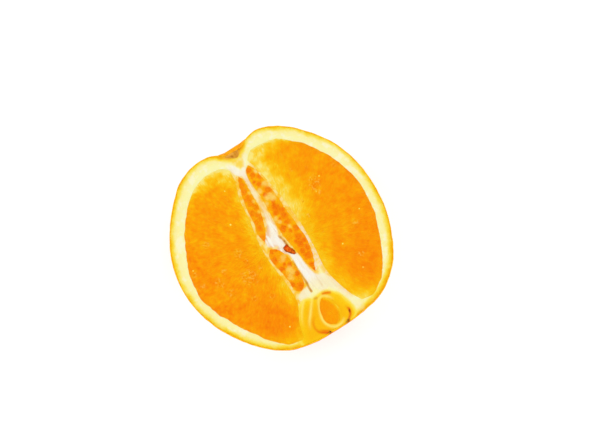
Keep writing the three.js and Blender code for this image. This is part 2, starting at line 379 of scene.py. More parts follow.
def shade(code):
    """The linear colour of a hex code as it shows on a screen."""
    parts = [int(code[k:k + 2], 16) / 255 for k in (0, 2, 4)]
    return tuple(p / 12.92 if p < 0.04045 else ((p + 0.055) / 1.055) ** 2.4 for p in parts)


def seen(code):
    """The colour that looks like the hex code when it lies in the light of the cut."""
    return tuple(p / LIGHT_ON_CUT for p in shade(code))


# %% Sockets and finishes
class Socket:
    """The output of a node, on which arithmetic adds Math nodes."""

    def __init__(self, finish, output):
        self.finish, self.output = finish, output

    def maths(self, operation, *values):
        return self.finish.node("ShaderNodeMath", {"operation": operation}, *values)

    def __add__(self, other):
        return self.maths("ADD", self, other)

    def __sub__(self, other):
        return self.maths("SUBTRACT", self, other)

    def __rsub__(self, other):
        return self.maths("SUBTRACT", other, self)

    def __mul__(self, other):
        return self.maths("MULTIPLY", self, other)

    def __truediv__(self, other):
        return self.maths("DIVIDE", self, other)

    __radd__, __rmul__ = __add__, __mul__

    def between(self, low_end, high_end):
        """0 below the low end, 1 above the high end, eased between."""
        return self.finish.node("ShaderNodeMapRange", {"interpolation_type": "SMOOTHSTEP"},
                                Value=self, From_Min=low_end, From_Max=high_end)


class Finish:
    """A material with a Principled shader whose constants are set on its own sockets. Its colours are given
    as hex codes, and the tint, shade or seen, makes them linear."""

    def __init__(self, name, tint, **constants):
        self.tint = tint
        self.material = bpy.data.materials.new(name)
        self.material.use_nodes = True
        self.tree = self.material.node_tree
        self.shader = self.tree.nodes["Principled BSDF"]
        for key, value in constants.items():
            self.shader.inputs[key.replace("_", " ")].default_value = value

    def node(self, kind, settings=None, *values, output=0, **inputs):
        """Any node: its settings come first, then its sockets, by order or by name, as numbers or links."""
        made = self.tree.nodes.new(kind)
        for key, value in (settings or {}).items():
            if key == "stops":
                for _ in value[2:]:
                    made.color_ramp.elements.new(0.5)
                for stop, (place, code) in zip(made.color_ramp.elements, value):
                    stop.position, stop.color = place, (*self.tint(code), 1)
            else:
                setattr(made, key, value)
        known = {socket.identifier: socket for socket in made.inputs}
        known.update({socket.name.replace(" ", "_"): socket for socket in made.inputs if socket.enabled})
        named = [(known[key], value) for key, value in inputs.items()]
        for socket, value in [*zip(made.inputs, values), *named]:
            if isinstance(value, Socket):
                self.tree.links.new(value.output, socket)
            else:
                socket.default_value = (*self.tint(value), 1) if isinstance(value, str) else value
        return Socket(self, made.outputs[output])

    def attribute(self, name, output="Fac"):
        return self.node("ShaderNodeAttribute", {"attribute_name": name}, output=output)

    def noise(self, where, scale, detail=2.0, stretch=(1, 1, 1)):
        """Noise of a scale per metre (or per unit of an attribute), squeezed along each direction by the
        stretch. Its values lie round one half."""
        squeezed = self.node("ShaderNodeMapping", None, Vector=where, Scale=stretch)
        return self.node("ShaderNodeTexNoise", None, Vector=squeezed, Scale=scale, Detail=detail)

    def cells(self, where, scale):
        """The distance from the nearest of some scattered spots, in cells of the scale."""
        return self.node("ShaderNodeTexVoronoi", None, Vector=where, Scale=scale)

    def place(self):
        return self.node("ShaderNodeTexCoord", output="Object")

    def blend(self, share, first, second):
        """The second colour laid over the first by a share from 0 to 1."""
        return self.node("ShaderNodeMix", {"data_type": "RGBA", "clamp_factor": True}, output=2,
                         Factor_Float=share, A_Color=first, B_Color=second)

    def ramp(self, value, *stops):
        """The colour at a value from 0 to 1, between stops of a place and a colour."""
        return self.node("ShaderNodeValToRGB", {"stops": stops}, value)

    def bump(self, height, distance, strength):
        """A Bump node on a height from 0 to 1 whose full step is the distance, in metres."""
        return self.node("ShaderNodeBump", None, Height=height, Distance=distance, Strength=strength)

    def feed(self, **links):
        for key, socket in links.items():
            self.tree.links.new(socket.output, self.shader.inputs[key.replace("_", " ")])
        return self.material


# %% [markdown]
# ## The skin
#
# The skin of an orange is full of oil glands about a millimetre apart, and between them lie larger pits.
# The pits and the slow lumps are shaped in the mesh, so that they show in the outline, and the glands,
# which are finer than the mesh, are cells in a Bump node. At both ends the skin is golden, and so is the
# lip on the cut; the golden band in the top few millimetres under the cut is painted light that lifts the
# shaded skin there. Round the stem and in the navel's crack it is brown, and it shines only where it is
# neither cut nor scarred.


# %% The skin's finish
def skin_finish():
    f = Finish("orange_skin", shade, Coat_Roughness=0.3, Specular_IOR_Level=0.05)
    where = f.place()
    pit, rim, scar, matt = (f.attribute(name) for name in ("pit", "rim", "scar", "matt"))
    glands, grain = f.cells(where, 900), f.noise(where, 1500, 3)
    patches = f.noise(where, 45, 3).between(0.3, 0.7)
    mottled = f.noise(where, 620, 2).between(0.4, 0.6)
    tone = f.blend(patches, "E87400", "F48E00")
    tone = f.blend(pit * 0.3, tone, "CE5200")
    tone = f.blend(glands.between(0.34, 0.1) * 0.4, tone, "FA9C10")
    # golden at both ends and on the lip; under the cut this is painted light
    tone = f.blend(rim, tone, f.blend(mottled, "E4A006", "EEB40C"))
    tone = f.blend(scar, tone, f.blend(mottled, "7A3406", "A8560E"))
    wax = 0.15 * (1.0 - matt) * (1.0 - 0.5 * pit)
    height = grain * 0.25 + glands.between(0.7, 0.0)
    return f.feed(Base_Color=tone, Roughness=0.45 + 0.55 * matt, Coat_Weight=wax,
                  Normal=f.bump(height, 0.0003, 0.9))


SKIN = skin_finish()

# %% [markdown]
# ## The peel as one bowl
#
# The peel under the cut is a disc bent down into a bowl: the middle of the disc becomes the flat spot and
# its edge becomes the edge of the cut, each ring of the disc keeping its share of the area. A narrow lip
# turns in at the top, and the rest of the fruit sits inside it.

# %% The peel
DISC_GRID = 283  # points along a side of the grids of the peel and of the cut face
PIT_SPACING, PIT_DEPTH = 1.9, 0.2
LIP, LIP_RISE = 0.35, 0.03  # how much of the skin shows on the cut, and how far it rises above it
WELL_DEPTH, WELL_INSET, WELL_RING = 6.6, 1.6, 20  # the well that holds the rest, and the ring on its floor


def toward_axis(points, inset, z):
    """Points of the cut's edge drawn in towards the middle of the axis by an inset, at a height."""
    arm = points[:, :2] - [AXIS_X, 0]
    arm = arm * (1 - inset / np.linalg.norm(arm, axis=1))[:, None]
    return np.column_stack([arm + [AXIS_X, 0], np.full(len(points), float(z))])


def well_floor(outer, z):
    """The floor inside an outer ring, as two more rings: one halfway in, and one that is a single point."""
    return [toward_axis(outer, WELL_RING, z), np.tile([AXIS_X, 0, z], (len(outer), 1))]


def peel_look(smooth, points, tilt, pit):
    """What the finish is told of each point: how pitted, scarred and dull the skin is there, and how golden,
    where the band under the cut is painted light.
    """
    off_axis = np.hypot(smooth[..., 0] - AXIS_X, smooth[..., 2])
    past_crack, by_navel = off_axis - CRACK_RADIUS, tilt > NAVEL_TILT
    ragged = past_crack + 0.35 * soft_noise(smooth, 1.5, 9)
    navel = bell(ragged, 0.6 + 0.25 * soft_noise(smooth, 2.3, 10)) * by_navel
    stem = 0.6 * ease(3.6, 2.2, off_axis + 0.9 * soft_noise(smooth, 1.2, 8)) * (tilt < STEM_TILT)
    dull = np.maximum(ease(7, 1, -smooth[..., 2]), ease(32, 18, tilt))
    golden = np.maximum(ease(22, 10, tilt), ease(0.2, -0.8, past_crack) * by_navel)
    # the golden band under the cut is painted light on the shaded skin; the golden ends are the skin's own
    # colour
    return {"pit": pit, "scar": np.maximum(navel, stem), "matt": np.maximum(dull, navel),
            "rim": 0.9 * np.maximum(ease(2.8, 0.3, -points[..., 2]), 0.6 * golden)}


def peel():
    """Each point's share of the disc's radius gives its angle from straight down, a right angle at the
    edge; that direction, told as tilt and turn, gives the peel's point. It is then pushed in by the
    pits."""
    share, angle = square_to_disc(DISC_GRID)
    down = np.clip(1 - share**2, 0, 1)
    across = np.sqrt(1 - down**2)
    x, y = across * np.cos(angle), across * np.sin(angle)
    tilt, turn = np.degrees(np.arccos(np.clip(y, -1, 1))), np.arctan2(down, x)
    smooth = peel_point(tilt, turn)
    near_pit, _, tone = scatter(smooth, PIT_SPACING, 11)
    pit = (1 - ease(0.1, 0.9, near_pit)) * (0.4 + 0.6 * tone) * ease(0, 0.5, -smooth[..., 2])
    points = peel_point(tilt, turn, growth(smooth) - PIT_DEPTH * pit)
    points[..., 2] = np.maximum(points[..., 2], -FRUIT_DEPTH)
    look = peel_look(smooth, points, tilt, pit)

    edge = disc_edge(DISC_GRID)
    points = points.reshape(-1, 3)
    lip = [toward_axis(points[edge], inset, z) for inset, z in (
        (0.08, LIP_RISE), (LIP - 0.05, LIP_RISE), (LIP, -0.05), (WELL_INSET, -WELL_DEPTH))]
    rings = [*lip, *well_floor(points[edge], -WELL_DEPTH)]
    scar = 0.6 * np.tile(look["scar"].ravel()[edge], len(rings))
    on_rings = {"pit": 0, "rim": 0.9, "matt": 1, "scar": scar}
    values = {key: np.append(value, np.broadcast_to(on_rings[key], len(rings) * len(edge)))
              for key, value in look.items()}
    make_piece("peel", np.concatenate([points, *rings]), disc_faces(DISC_GRID, len(rings)), values, SKIN,
               "half_orange")


peel()

# %% [markdown]
# ## Where the pulp lies
#
# Two large segments were cut through, left and right, and three slivers of others lie along the core. Each
# one lies between two edges drawn from its navel end to its stem end, one towards the core and one towards
# the peel. The small second fruit in the navel has a disc of pulp of its own.

# %% The pulp's edges, in mm on the cut face
PULP_EDGES = {
    "pulp_left": (
        [[-11, -36.2], [-9.6, -30.5], [-6.2, -23], [-6.3, -14], [-7.3, -5], [-7.1, 3], [-5.6, 12],
         [-4.9, 20], [-2.9, 27], [-2.5, 31.2]],
        [[-11, -36.2], [-16, -35.2], [-21.5, -30.9], [-27, -23.3], [-33, -12.6], [-34.8, -8], [-35.8, -5.6],
         [-35.3, 2], [-34.6, 6.8], [-30.3, 16.5], [-24.2, 25.8], [-17.2, 32], [-10.5, 34], [-5, 33.4],
         [-2.5, 31.2]]),
    "pulp_right": (
        [[14.6, -34.6], [12.2, -30.5], [10, -24], [8.9, -18], [9.6, -9], [9.9, 0], [9.3, 10], [7.9, 19],
         [6.6, 26], [5, 31.2]],
        [[14.6, -34.6], [19.5, -34.7], [25, -31], [29.8, -23.6], [33.6, -14.4], [35.2, -9.4], [36.1, -2],
         [35.2, 7], [31.4, 17.8], [25.2, 26.8], [18.5, 32.4], [12, 34], [7.4, 33.6], [5, 31.2]]),
    "sliver_upper_left": (
        [[-5.2, 1.8], [-3.7, 3.4], [-1.6, 8.5], [-0.3, 14], [0, 21], [-0.1, 26], [-0.9, 27.8]],
        [[-5.2, 1.8], [-5.9, 4.5], [-5, 10], [-4.3, 15.5], [-3.5, 21], [-2, 25.8], [-0.9, 27.8]]),
    "sliver_right": (
        [[5.3, -17], [4, -12.5], [3, -6], [2, 0], [1.9, 8], [2.3, 17], [1.8, 25], [2.8, 28.4], [4.3, 29.6]],
        [[5.3, -17], [6.9, -13.5], [8.5, -7], [8.6, 0], [7.9, 8], [7.2, 16.5], [6.4, 24], [5.3, 28],
         [4.3, 29.6]]),
    "sliver_lower_left": (
        [[-2.6, -20.5], [-0.7, -19], [0, -15.5], [-0.1, -10], [-0.9, -6], [-2.6, -2.8], [-4.8, -1.5]],
        [[-2.6, -20.5], [-4.6, -19.4], [-5, -15.5], [-5.6, -11], [-6.6, -6.5], [-6.2, -3.3], [-4.8, -1.5]]),
    "navel_pulp": (
        [[2.2, -37.4], [4.6, -36.4], [5.7, -33.5], [5.2, -30.3], [3.8, -27.8], [2.2, -26.6]],
        [[2.2, -37.4], [-0.2, -36.2], [-1.1, -33.5], [-0.7, -30.3], [0.7, -27.8], [2.2, -26.6]]),
}


def pulp_edges(name, count):
    """The two edges of a piece with as many points each. The one towards the peel also waves, because the
    sacs that end there are of unequal length: soft noise pushes it along its own normal."""
    core_edge, peel_edge = (curve_through(points, count) for points in PULP_EDGES[name])
    step = np.gradient(peel_edge, axis=0)
    normal = np.stack([step[:, 1], -step[:, 0]], axis=-1) / np.linalg.norm(step, axis=1)[:, None]
    place = flat(*peel_edge.T)
    wave = 0.22 * soft_noise(place, 3.2, 31) + 0.13 * soft_noise(place, 1.2, 32)
    share = np.linspace(0, 1, count)
    return core_edge, peel_edge + (wave * ease(0, 0.06, share) * ease(1, 0.94, share))[:, None] * normal


def pulp_outline(name):
    core_edge, peel_edge = pulp_edges(name, 170)
    return np.concatenate([core_edge, peel_edge[-2:0:-1]])


# %% [markdown]
# ## The cut through rind, core and navel
#
# One disc carries everything on the cut that isn't pulp. Its heights come from distances: shallow pockets
# under the pulp, a rough core with a deep hollow and fine cracks, and the folds of the second fruit. The
# same distances are kept on its points, and the finish turns them into colour.

# %% Lines on the cut, in mm
CORE = [  # places along the white core: x, y, how far the white reaches round it, and how white it is
    [1.1, 28, 0.9, 0.8], [1.1, 24, 0.8, 0.6], [1, 20, 0.9, 0.4], [1, 15, 0.9, 0.35], [0.5, 10, 1.1, 0.45],
    [0, 6, 1.7, 0.75], [-1, 3.4, 2.3, 0.95], [-2.8, 1, 2.6, 0.95], [-0.9, 0, 2.2, 1.15],
    [0, -2.4, 1.5, 1.15], [-1.6, -3.6, 1.3, 0.9], [0.6, -6, 0.9, 0.9], [1.8, -8.8, 1.4, 1.1],
    [2, -12, 1.6, 1.1], [2.4, -16, 1.9, 1.1], [3, -19, 2.5, 1.05], [5, -21.8, 3.2, 0.85]]
RIGHT_BAND = [[6, -20.5, 2.2, 0.85], [8.2, -23.5, 1.9, 0.8], [9.8, -27, 1.4, 0.6], [11.1, -31, 1.3, 0.5],
              [12.2, -34.5, 1.6, 0.4], [12.8, -36.3, 1.6, 0.2]]
LEFT_BAND = [[0, -21.5, 1.6, 0.85], [-2.6, -22.3, 1.8, 0.9], [-4, -22.9, 1.3, 0.6]]
TOP_WALL = [[-2.4, 33.2, 0.9, 0.3], [-1.2, 31.2, 1.3, 0.7], [-0.4, 29.4, 1.4, 0.8], [1, 28, 1, 0.8],
            [2.2, 29.2, 0.8, 0.6], [3.6, 31.2, 0.8, 0.4], [5, 33.4, 1.2, 0.3]]
NAVEL_ZONE = [[-1, -25.2], [2, -24.6], [4.5, -24.9], [6.4, -26.2], [8.6, -29.2], [9.9, -32.5],
              [10.2, -35.5], [9.4, -38], [2.5, -41], [-5, -41], [-12, -39.5], [-12.4, -36],
              [-10.6, -31.5], [-8.8, -28], [-6.8, -25.4], [-4.6, -24.2], [-2.6, -24.2]]
CREAM_LINES = [  # x, y and how pale
    [[-4, -24, 0.8], [-6.2, -26.5, 0.7], [-7.5, -28.5, 0.5], [-8.3, -30.2, 0.25], [-8.8, -32, 0.05]],
    [[-1.5, -25.6, 0.7], [-3.3, -28, 0.85], [-4.5, -29.6, 0.9], [-5.7, -31.1, 0.7], [-6.6, -32.6, 0.4],
     [-7.2, -34, 0.1]],
    [[5.6, -28.6, 0.2], [4.6, -27.3, 0.8], [2.8, -25.9, 0.8], [1, -26.4, 0.7], [-0.3, -28.8, 0.7],
     [-1.2, -31.2, 0.8], [-1.6, -33.2, 1], [-1.4, -35, 1], [-0.4, -36.9, 0.9], [1.4, -38.1, 1],
     [3.6, -38.1, 0.8], [5.2, -37.2, 0.4]]]
ORANGE_LINES = [  # where the folds turn deep orange: x, y and how deep
    [[-3.6, -31, 0.2], [-5.1, -32.6, 0.5], [-5.6, -35, 0.6], [-4.9, -36.8, 0.9], [-3.6, -37.8, 1.2],
     [-2.2, -38.6, 1.2]],
    [[-4.2, -36.6, 0.6], [-2.8, -37.6, 0.9], [-1.4, -38.4, 0.7]],
    [[8.2, -33.8, 0.3], [8.7, -35.2, 1.2], [8.2, -36.8, 1.0], [7, -38, 0.8]],
    [[5.6, 36, 0.3], [6.6, 36.6, 0.3]],
    [[3.4, -25.3, 0.9], [4.6, -25.7, 1.1], [5.8, -26.3, 0.9]]]
# The dark of the cracks is painted shade in their gaps, which the mesh cuts only shallow.
CRACKS = [  # each a line of x, y and how dark, then how wide and how deep it is
    ([[0.5, 1.2, 0.3], [0.75, 0.5, 0.6], [1, -0.4, 0.35], [1.25, -1.3, 0.6], [1.4, -3.4, 0.7]], 0.44, 0.04),
    ([[-0.1, -9.6, 0.35], [-0.1, -11, 0.7], [0, -12.2, 0.4], [-0.2, -13.4, 0.7], [0.2, -16, 0.35],
      [0.4, -19, 0.6], [0.2, -20.5, 0.45], [0.25, -22.4, 0.75]], 0.4, 0.04),
    ([[4.7, -17.2, 0.08], [4.7, -19.5, 0.1], [4.8, -22.6, 0.14]], 0.4, 0.04),
    ([[8.8, -34.8, 0.3], [8.6, -35.5, 0.8], [8.1, -36.8, 0.25], [7, -37.9, 0.4], [6.4, -38.5, 1.0],
      [5.4, -38.9, 0.9]], 0.4, 0.3),
    ([[-4.2, -37.6, 0.1], [-3.2, -38.2, 0.25], [-2.2, -38.9, 0.8], [-1.4, -39.3, 1.1]], 0.42, 0.3),
    ([[-0.1, -25.4, 0.25], [0.6, -25.5, 0.25]], 0.6, 0.1)]
HOLLOW = [[-0.4, -3.4], [0.5, -3.1], [1.4, -2.9], [1.8, -4], [2.4, -5.4], [2.8, -6.9], [2.6, -7.7],
          [1.9, -7.6], [1.2, -6.9], [0.5, -6], [-0.2, -5.2]]
HOLLOW_DEPTH, HOLLOW_WALL = 0.8, 0.9  # how deep it is, and how far from its edge it is that deep
FUNNEL = [[-0.6, 34.6], [0, 32], [1.4, 30.2], [2.6, 29.9], [3.5, 32], [4.6, 34.6]]  # yellow, under the stem
LINE_WIDTH = 0.5
POCKET_DEPTH = 1.3
SEAM = 0.04  # between the lip of the skin and this disc
FLOOR_GAP = 0.1  # between this disc's underside and the peel's well, in height and to the side


def band_cover(points, band):
    """How much a band of round spots of changing size covers each point, times the band's own strength."""
    x, y, reach, strength = curve_through(band, 60).T
    share = 1 - np.hypot(points[:, :1] - x, points[:, 1:] - y) / reach
    return (strength * ease(-0.12, 0.3, share)).max(axis=1)


def strokes(points, lines, width):
    """A soft stroke along each line of x, y and strength: 1 times the strength on it, fading to the
    sides."""
    best = np.zeros(len(points))
    for line in lines:
        curve = curve_through(line, 80)
        away, piece = nearest_on(points, curve[:, :2])
        best = np.maximum(best, curve[piece, 2] * bell(away, width))
    return best


# %% The disc on the cut
def cut_grid():
    """The disc stretched to the edge of the cut: x, y and the distance from the skin of all its points."""
    share, angle = square_to_disc(DISC_GRID)
    tilt = np.degrees(np.arccos(np.clip(np.sin(angle), -1, 1)))
    turn = np.where(np.cos(angle) >= 0, 0.0, math.pi)
    outline = peel_point(tilt, turn, growth(peel_point(tilt, turn)))
    reach = np.linalg.norm(outline[..., :2] - [AXIS_X, 0], axis=-1) - LIP - SEAM
    x, y = AXIS_X + share * reach * np.cos(angle), share * reach * np.sin(angle)
    return x.ravel(), y.ravel(), ((1 - share) * reach).ravel() + LIP


def near_each(spot, rough):
    """How deep each spot lies in the pulp, in the folds, in the hollow and under the stem, and how much of
    the core, of each kind of line and of the cracks covers it."""
    crack = [strokes(spot, [line], width) for line, width, _ in CRACKS]
    return SimpleNamespace(
        in_pulp=np.max([depth_in(spot, pulp_outline(name)) for name in PULP_EDGES], axis=0),
        in_folds=depth_in(spot, curve_through(NAVEL_ZONE + NAVEL_ZONE[:1], 160)[:-1]),
        in_hollow=depth_in(spot, np.array(HOLLOW)) + 0.12 * rough,
        in_funnel=depth_in(spot, np.array(FUNNEL)) + 0.4 * rough,
        core=np.max([band_cover(spot, band) for band in (CORE, RIGHT_BAND, LEFT_BAND, TOP_WALL)], axis=0),
        line=strokes(spot, CREAM_LINES, LINE_WIDTH), orange=strokes(spot, ORANGE_LINES, LINE_WIDTH),
        crack=np.max(crack, axis=0),
        crack_drop=np.max([depth * each for each, (_, _, depth) in zip(crack, CRACKS)], axis=0))


def cut_height(place, rind, near, rough):
    """The height of each point: the sum of what the comments name."""
    z = 0.05 * soft_noise(place, 7, 21)  # a knife never leaves a plane
    z -= 0.1 * ease(1.2, 3, rind)  # the pith dries and sinks a little behind the skin
    z += 0.04 * soft_noise(place, 0.8, 22) * ease(0.6, 1.6, rind)  # it is spongy
    fibre = soft_noise(place * [1, 0.22, 1], 0.7, 23)
    z += (0.16 * fibre - 0.08) * near.core  # the core is torn fibre
    z += 0.16 * near.line - 0.1 * ease(0, 1, near.in_folds)  # the folds' edges stand proud of their bed
    hollow = np.sqrt(1 - (1 - np.clip(near.in_hollow / HOLLOW_WALL, 0, 1)) ** 2)  # its wall is an arc
    z -= near.crack_drop + HOLLOW_DEPTH * hollow * (1 + 0.3 * rough)
    z = z * ease(0, 0.25, rind - LIP) * ease(0, -0.8, near.in_pulp)  # level with the lip and with the pulp
    return z - POCKET_DEPTH * ease(0.3, 0.62, near.in_pulp)  # the pockets that the pulp fills


def cut_look(x, y, rind, near):
    """What the finish is told of each point. Counted in layers of colour, the rind is thicker near the
    navel, its colours come sooner at the upper right, and it is golden by the stem."""
    thick = ease(-18, -30, y) * (0.45 - 0.3 * ease(-10, -24, x))
    sooner = np.maximum(ease(12, 30, y) * ease(-20, 10, x), ease(24, 36, x) * ease(-6, 8, y))
    golden = (0.9 * bell(x - AXIS_X, 6) + 1.2 * bell(x + 2, 3)) * ease(31, 34.5, y)
    membrane = ease(6, 8, rind) * ease(-2.2, -0.5, near.in_pulp)
    left_of_core = np.exp(-(((x + 5.8) / 1.6) ** 2 + ((y - 1) / 2.6) ** 2))
    return {"rind": rind - thick + 0.3 * sooner + 0.4 * soft_noise(flat(x, y), 5, 25) - golden,
            "core": near.core, "fold": near.in_folds, "line": near.line, "orange": near.orange,
            "crack": near.crack, "membrane": membrane, "wan": ease(4, 6.5, x) * ease(6, -4, y),
            "hollow": ease(-0.3, 0.9, near.in_hollow), "yellow": ease(-0.8, 0.7, near.in_funnel),
            "cream": 0.7 * np.maximum(ease(-16.5, -21, y), ease(-1, 7, x) * ease(-19, -22, y)),
            "pink": np.maximum(membrane * ease(-9, -3, y) * ease(28, 22, y), 1.4 * left_of_core)}


def cut_face():
    x, y, rind = cut_grid()
    place = flat(x, y)
    rough = soft_noise(place, 0.7, 24)
    near = near_each(np.column_stack([x, y]), rough)
    points = np.column_stack([x, y, cut_height(place, rind, near, rough)])
    edge = disc_edge(DISC_GRID)
    bottom = FLOOR_GAP - WELL_DEPTH
    wall = toward_axis(points[edge], WELL_INSET - LIP + FLOOR_GAP, bottom)
    rings = [wall, *well_floor(wall, bottom)]
    values = {key: np.append(value, np.tile(value[edge], len(rings)))
              for key, value in cut_look(x, y, rind, near).items()}
    make_piece("rind_and_core", np.concatenate([points, *rings]), disc_faces(DISC_GRID, len(rings)), values,
               RIND, "half_orange")


# %% The rind's, core's and navel's finish
def face_finish():
    """The colours are laid one over another: rind, membranes, core, folds, lines, cracks and the hollow. The
    dark middles of the cracks and the darker wall of the hollow are painted shade.
    """
    f = Finish("orange_rind", seen, Specular_IOR_Level=0.04, Subsurface_Weight=0.08,
               Subsurface_Radius=(1.0, 0.7, 0.3), Subsurface_Scale=0.001)
    where = f.place()
    streaky, blotch, pale = f.noise(where, 260, 3), f.noise(where, 750, 2), f.noise(where, 420, 2)
    rind, core, crack, hollow = (f.attribute(name) for name in ("rind", "core", "crack", "hollow"))
    depth = rind + 1.3 * (streaky - 0.5) + 1.2 * (blotch - 0.5)
    tone = f.ramp(depth / 6, (0.0, "F6AE08"), (0.08, "F8C414"), (0.167, "FAD838"), (0.25, "FBE35F"),
                  (0.333, "FCED8D"), (0.42, "FCF0A5"), (0.52, "FCF2A2"), (0.7, "FBF5AC"))
    tone = f.blend(pale.between(0.5, 0.68) * rind.between(1.4, 2.6) * 0.5, tone, "FDFAE0")
    gold = f.blend(pale.between(0.4, 0.62), "FDC42C", "FCE08A")
    wan = f.blend(blotch.between(0.4, 0.65), "FCD268", "FAE0B8")
    tone = f.blend(f.attribute("membrane"), tone, f.blend(f.attribute("wan"), gold, wan))
    fibre = f.noise(where, 900, 2, stretch=(1, 0.2, 1))
    white = f.blend(f.attribute("cream"), "FBF8EA", "FAEFB8")
    white = f.blend(fibre.between(0.36, 0.62) * (0.2 + f.attribute("pink")), white, "F0C49C")
    tone = f.blend(core + 0.3 * (streaky - 0.5), tone, white)
    tone = f.blend(f.attribute("yellow") * 0.9, tone, f.blend(pale.between(0.4, 0.6), "FCD444", "FCE484"))
    fold = f.attribute("fold") + 1.6 * (streaky - 0.5)
    tone = f.blend(fold.between(-1.1, 0.0), tone, "FDE250")
    bed = f.ramp(fold / 4, (0.0, "FDD830"), (0.2, "FDCC14"), (0.5, "FCC60C"), (0.9, "FCBC08"))
    tone = f.blend(fold.between(-0.4, 0.7), tone, bed)
    tone = f.blend(f.attribute("line") * 0.9, tone, "FEE970")
    tone = f.blend(crack.between(0.03, 0.3) * 0.85, tone, "E0A030")
    tone = f.blend(f.attribute("orange") * 0.9, tone, "F07000")
    # painted shade: the dark brown along the middle of each crack stands in for the shade in its gap; the
    # golden brown beside it is the crack's own colour
    tone = f.blend((crack + 0.7 * (blotch - 0.5)).between(0.35, 0.8) * 0.85, tone, "7E460A")
    torn_and_shaded = f.blend(f.noise(where, 1100, 1).between(0.42, 0.58), "EC4C00", "F87814")
    torn_and_shaded = f.blend(pale.between(0.54, 0.62) * 0.7, torn_and_shaded, "E8983A")
    torn_and_shaded = f.blend(blotch.between(0.46, 0.36) * 0.8, torn_and_shaded, "8C3600")
    # painted shade: darker towards the hollow's edge, on its wall
    torn_and_shaded = f.blend((hollow + 1.2 * (blotch - 0.5)).between(0.8, 0.3) * 0.6, torn_and_shaded, "9A4A08")
    tone = f.blend(hollow.between(0.02, 0.25), tone, torn_and_shaded)
    height = f.noise(where, 1500, 3)
    return f.feed(Base_Color=tone, Roughness=0.45 + 0.3 * height, Normal=f.bump(height, 0.00012, 0.6))


RIND = face_finish()
cut_face()

# %% [markdown]
# ## The pulp
#
# Pulp is made of juice sacs: slim bags that grow from the membrane under the peel towards the core, so that
# on the cut they fan out from a place in the core. Where a segment was cut along its length they show as
# long strokes, and in the slivers, where they were cut across, as round beads.

# %% Measures of the pulp, in mm
SACS = {  # points along and across, the middle of the fan, a sac's width and length, its relief, its grain
    "pulp_left": (430, 150, [-1.5, -0.5], [1.7, 7], 0.12, 1.0),
    "pulp_right": (430, 150, [4, -3], [1.7, 7], 0.12, 0.66),
    "sliver_upper_left": (190, 30, [24, 16], [1.9, 3.0], 0.3, 0.85),
    "sliver_right": (300, 40, [-24, 6], [1.9, 3.0], 0.3, 0.85),
    "sliver_lower_left": (150, 40, [24, -10], [1.9, 3.0], 0.3, 0.85),
    "navel_pulp": (90, 50, [2.3, -60], [2.4, 3.5], 0.1, 0.4),
}
FAN_RADIUS = 25  # this far from the fan's middle, a sac has the width given
PULP_LIGHT = [  # how light the two large pieces are: y, and the light there
    [-36, 0.64], [-33, 0.58], [-31, 0.48], [-28.5, 0.33], [-26, 0.31], [-20, 0.36], [-14, 0.44], [-8, 0.5],
    [0, 0.5], [22, 0.5], [28, 0.55], [31, 0.75], [34, 0.85]]
GLOW = {  # how they lighten towards the core: y, by how much, and over what distance it fades
    "pulp_left": [[-36, 0.1, 4], [-33, 0.12, 3], [-31, 0.12, 2], [-26, 0.3, 3], [-22, 0.4, 4.2],
                  [-20, 0.4, 4.4], [-14, 0.32, 5], [-8, 0.25, 2], [-2, 0.26, 2.2], [4, 0.24, 2.9],
                  [10, 0.28, 2.8], [16, 0.26, 2.4], [22, 0.22, 4]],
    "pulp_right": [[-34, 0.3, 5], [-31, 0.32, 5], [-28, 0.4, 7], [-20, 0.42, 5.2], [-14, 0.33, 4.8],
                   [-8, 0.28, 4.8], [-2, 0.3, 5.5], [4, 0.38, 6.5], [10, 0.36, 7], [16, 0.42, 7.2],
                   [27, 0.38, 6], [31, 0.2, 5], [34, 0.05, 5]],
}
BEADS = [  # deep orange sacs cut across in the slivers: x, y and radius
    [-1.1, 26.2, 1.1], [-1.7, 24.2, 1.3], [-2.4, 22, 1.5], [-2.5, 19, 1.5], [-2.2, 16.6, 1.1],
    [-1.2, 14.4, 1.2], [-3.5, 13.4, 1.3], [-2.3, 11.8, 1.0], [-2.2, 9.8, 1.2], [-3.8, 9.6, 1.0],
    [-3.8, 7.2, 1.4], [-4.7, 4.2, 1.1], [-5, 2.8, 0.8],
    [3.2, 27.8, 1.2], [3.8, 25.4, 1.1], [5.4, 24, 1.1], [4, 21.7, 1.2], [3.0, 22.8, 0.8], [6, 17.9, 1.4],
    [4, 17, 0.8], [5.1, 13, 0.9], [5.1, 11, 1.6], [4.1, 8.9, 1.2], [6.3, 8.8, 1.2], [5.9, 6.6, 1.6],
    [4.3, 6.6, 0.8], [5.9, 4.2, 1.3], [3.4, 2.8, 1.3], [7.5, 0.2, 1.4], [5.2, 0.6, 0.8], [6.6, -2.4, 1.8],
    [4.8, -3.6, 1], [7.7, -5, 1.2], [5.9, -5.6, 1.4], [7.3, -7.6, 1.4], [5.4, -8, 1.2], [5.9, -10.6, 1.8],
    [5.6, -13.9, 1.3], [5.4, -15.9, 0.9],
    [-4.7, -2.2, 1.1], [-3.2, -2.9, 0.8], [-5.7, -5.8, 1.4], [-4.8, -9.9, 1.1], [-1.4, -9.9, 0.9],
    [-3.2, -9, 0.8], [-0.7, -14.2, 1.1], [-4.4, -16.8, 1.1], [-2.3, -18.7, 1.8]]
SLIVERS = {  # how light they are between the beads, how much deeper the beads are, how pinkish the gold is
    "sliver_upper_left": (0.58, 0.25, 0.25), "sliver_right": (0.63, 0.42, 0.5),
    "sliver_lower_left": (0.56, 0.34, 0.4)}
